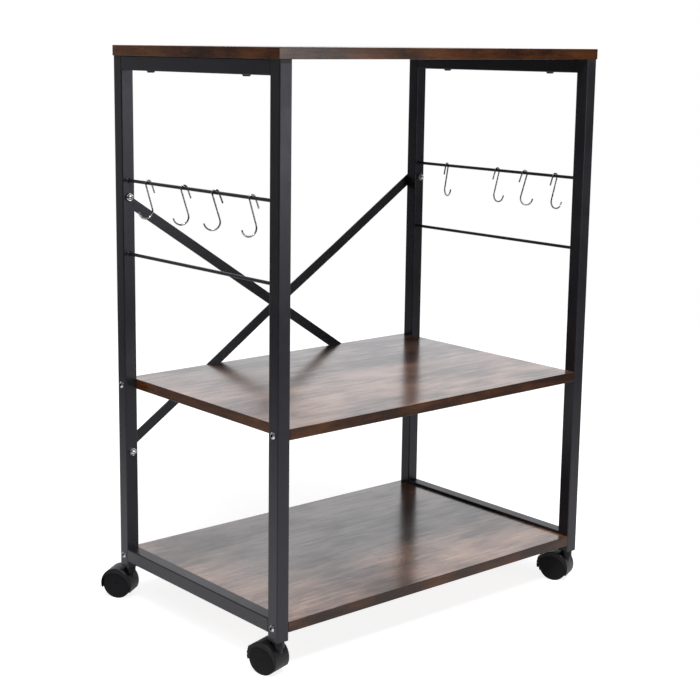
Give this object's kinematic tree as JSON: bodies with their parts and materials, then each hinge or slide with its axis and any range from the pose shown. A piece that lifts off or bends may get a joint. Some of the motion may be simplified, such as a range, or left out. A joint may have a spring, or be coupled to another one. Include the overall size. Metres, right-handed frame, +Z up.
{
  "type": "rolling kitchen shelf",
  "caption": "Open kitchen cart with wood-grain boards in a black square-tube frame, side hook rods with S-hooks, a crossed back brace and swivel casters with rocker brakes.",
  "frame": {"origin": "middle of the footprint's bounding box, on the floor; the casters trail to the rear left, so the frame's own centre lies 9 mm to the right of it and 15 mm to the front", "axes": "+X to the right as seen from the front, +Y from front to back, +Z up"},
  "size_m": [0.6302, 0.4188, 0.8245],
  "materials": {
    "laminate": "satin rustic brown wood-grain laminate",
    "powder_coat": "satin black powder coat",
    "bright_steel": "zinc-plated steel",
    "black_steel": "black oxide steel",
    "black_plastic": "moulded black plastic",
    "chrome_wire": "polished chrome plate",
    "caster_plastic": "moulded black nylon",
    "wheel_plastic": "moulded black nylon",
    "axle_steel": "plain steel pin"
  },
  "bodies": {
    "frame": {"top_board": "laminate", "middle_board": "laminate", "bottom_board": "laminate", "front_left_post": "powder_coat", "front_right_post": "powder_coat", "rear_left_post": "powder_coat", "rear_right_post": "powder_coat", "left_top_rail": "powder_coat", "left_bottom_rail": "powder_coat", "left_hook_rod": "powder_coat", "left_lower_rod": "powder_coat", "right_top_rail": "powder_coat", "right_bottom_rail": "powder_coat", "right_hook_rod": "powder_coat", "right_lower_rod": "powder_coat", "brace_bar_falling": "powder_coat", "brace_bar_rising": "powder_coat", "middle_shelf_bolts": "bright_steel", "bottom_shelf_bolts": "bright_steel", "brace_nuts": "bright_steel", "caster_stems": "bright_steel", "middle_shelf_inserts": "bright_steel", "bottom_shelf_inserts": "bright_steel", "brace_bolts": "black_steel", "top_screws": "black_steel", "post_caps": "black_plastic", "caster_sockets": "black_plastic"},
    "front_left_wheel_inner": {"front_left_wheel_inner": "wheel_plastic"},
    "front_left_wheel_outer": {"front_left_wheel_outer": "wheel_plastic"},
    "front_left_brake_rocker": {"front_left_brake_rocker": "caster_plastic"},
    "front_left_caster": {"front_left_caster_body": "caster_plastic", "front_left_caster_axle": "axle_steel", "front_left_brake_pin": "axle_steel"},
    "front_right_wheel_inner": {"front_right_wheel_inner": "wheel_plastic"},
    "front_right_wheel_outer": {"front_right_wheel_outer": "wheel_plastic"},
    "front_right_brake_rocker": {"front_right_brake_rocker": "caster_plastic"},
    "front_right_caster": {"front_right_caster_body": "caster_plastic", "front_right_caster_axle": "axle_steel", "front_right_brake_pin": "axle_steel"},
    "rear_left_wheel_inner": {"rear_left_wheel_inner": "wheel_plastic"},
    "rear_left_wheel_outer": {"rear_left_wheel_outer": "wheel_plastic"},
    "rear_left_caster": {"rear_left_caster_body": "caster_plastic", "rear_left_caster_axle": "axle_steel"},
    "rear_right_wheel_inner": {"rear_right_wheel_inner": "wheel_plastic"},
    "rear_right_wheel_outer": {"rear_right_wheel_outer": "wheel_plastic"},
    "rear_right_caster": {"rear_right_caster_body": "caster_plastic", "rear_right_caster_axle": "axle_steel"},
    "hook_1": {"hook_1": "chrome_wire"},
    "hook_2": {"hook_2": "chrome_wire"},
    "hook_3": {"hook_3": "chrome_wire"},
    "hook_4": {"hook_4": "chrome_wire"},
    "hook_5": {"hook_5": "chrome_wire"},
    "hook_6": {"hook_6": "chrome_wire"},
    "hook_7": {"hook_7": "chrome_wire"},
    "hook_8": {"hook_8": "chrome_wire"}
  },
  "joints": [
    {"name": "front_left_swivel", "type": "hinge", "parent": "frame", "child": "front_left_caster", "pos_m": [-0.27934, -0.19651, 0.0495], "axis": [0, 0, 1], "continuous": true},
    {"name": "front_left_wheel_inner_spin", "type": "hinge", "parent": "front_left_caster", "child": "front_left_wheel_inner", "pos_m": [-0.28397, -0.18035, 0.0222], "axis": [0.9613, 0.2756, 0], "continuous": true},
    {"name": "front_left_wheel_outer_spin", "type": "hinge", "parent": "front_left_caster", "child": "front_left_wheel_outer", "pos_m": [-0.28397, -0.18035, 0.0222], "axis": [0.9613, 0.2756, 0], "continuous": true},
    {"name": "front_left_brake", "type": "hinge", "parent": "front_left_caster", "child": "front_left_brake_rocker", "pos_m": [-0.28769, -0.16738, 0.0232], "axis": [-0.9613, -0.2756, 0], "range_deg": [0, 10]},
    {"name": "front_right_swivel", "type": "hinge", "parent": "frame", "child": "front_right_caster", "pos_m": [0.29786, -0.19651, 0.0495], "axis": [0, 0, 1], "continuous": true},
    {"name": "front_right_wheel_inner_spin", "type": "hinge", "parent": "front_right_caster", "child": "front_right_wheel_inner", "pos_m": [0.29157, -0.18093, 0.0222], "axis": [0.9272, 0.3746, 0], "continuous": true},
    {"name": "front_right_wheel_outer_spin", "type": "hinge", "parent": "front_right_caster", "child": "front_right_wheel_outer", "pos_m": [0.29157, -0.18093, 0.0222], "axis": [0.9272, 0.3746, 0], "continuous": true},
    {"name": "front_right_brake", "type": "hinge", "parent": "front_right_caster", "child": "front_right_brake_rocker", "pos_m": [0.28651, -0.16841, 0.0232], "axis": [-0.9272, -0.3746, 0], "range_deg": [0, 10]},
    {"name": "rear_left_swivel", "type": "hinge", "parent": "frame", "child": "rear_left_caster", "pos_m": [-0.27934, 0.1655, 0.0495], "axis": [0, 0, 1], "continuous": true},
    {"name": "rear_left_wheel_inner_spin", "type": "hinge", "parent": "rear_left_caster", "child": "rear_left_wheel_inner", "pos_m": [-0.28873, 0.17942, 0.0222], "axis": [0.829, 0.5592, 0], "continuous": true},
    {"name": "rear_left_wheel_outer_spin", "type": "hinge", "parent": "rear_left_caster", "child": "rear_left_wheel_outer", "pos_m": [-0.28873, 0.17942, 0.0222], "axis": [0.829, 0.5592, 0], "continuous": true},
    {"name": "rear_right_swivel", "type": "hinge", "parent": "frame", "child": "rear_right_caster", "pos_m": [0.29786, 0.1655, 0.0495], "axis": [0, 0, 1], "continuous": true},
    {"name": "rear_right_wheel_inner_spin", "type": "hinge", "parent": "rear_right_caster", "child": "rear_right_wheel_inner", "pos_m": [0.29076, 0.18072, 0.0222], "axis": [0.9063, 0.4226, 0], "continuous": true},
    {"name": "rear_right_wheel_outer_spin", "type": "hinge", "parent": "rear_right_caster", "child": "rear_right_wheel_outer", "pos_m": [0.29076, 0.18072, 0.0222], "axis": [0.9063, 0.4226, 0], "continuous": true},
    {"name": "hook_1_swing", "type": "hinge", "parent": "frame", "child": "hook_1", "pos_m": [-0.27934, 0.10351, 0.6329], "axis": [0, 1, 0], "range_deg": [-70, 70]},
    {"name": "hook_2_swing", "type": "hinge", "parent": "frame", "child": "hook_2", "pos_m": [-0.27934, 0.01545, 0.6329], "axis": [0, 1, 0], "range_deg": [-70, 70]},
    {"name": "hook_3_swing", "type": "hinge", "parent": "frame", "child": "hook_3", "pos_m": [-0.27934, -0.05757, 0.6329], "axis": [0, 1, 0], "range_deg": [-70, 70]},
    {"name": "hook_4_swing", "type": "hinge", "parent": "frame", "child": "hook_4", "pos_m": [-0.27934, -0.13845, 0.6329], "axis": [0, 1, 0], "range_deg": [-70, 70]},
    {"name": "hook_5_swing", "type": "hinge", "parent": "frame", "child": "hook_5", "pos_m": [0.29786, 0.09051, 0.6329], "axis": [0, 1, 0], "range_deg": [-70, 70]},
    {"name": "hook_6_swing", "type": "hinge", "parent": "frame", "child": "hook_6", "pos_m": [0.29786, -0.02303, 0.6329], "axis": [0, 1, 0], "range_deg": [-70, 70]},
    {"name": "hook_7_swing", "type": "hinge", "parent": "frame", "child": "hook_7", "pos_m": [0.29786, -0.08151, 0.6329], "axis": [0, 1, 0], "range_deg": [-70, 70]},
    {"name": "hook_8_swing", "type": "hinge", "parent": "frame", "child": "hook_8", "pos_m": [0.29786, -0.14358, 0.6329], "axis": [0, 1, 0], "range_deg": [-70, 70]}
  ]
}
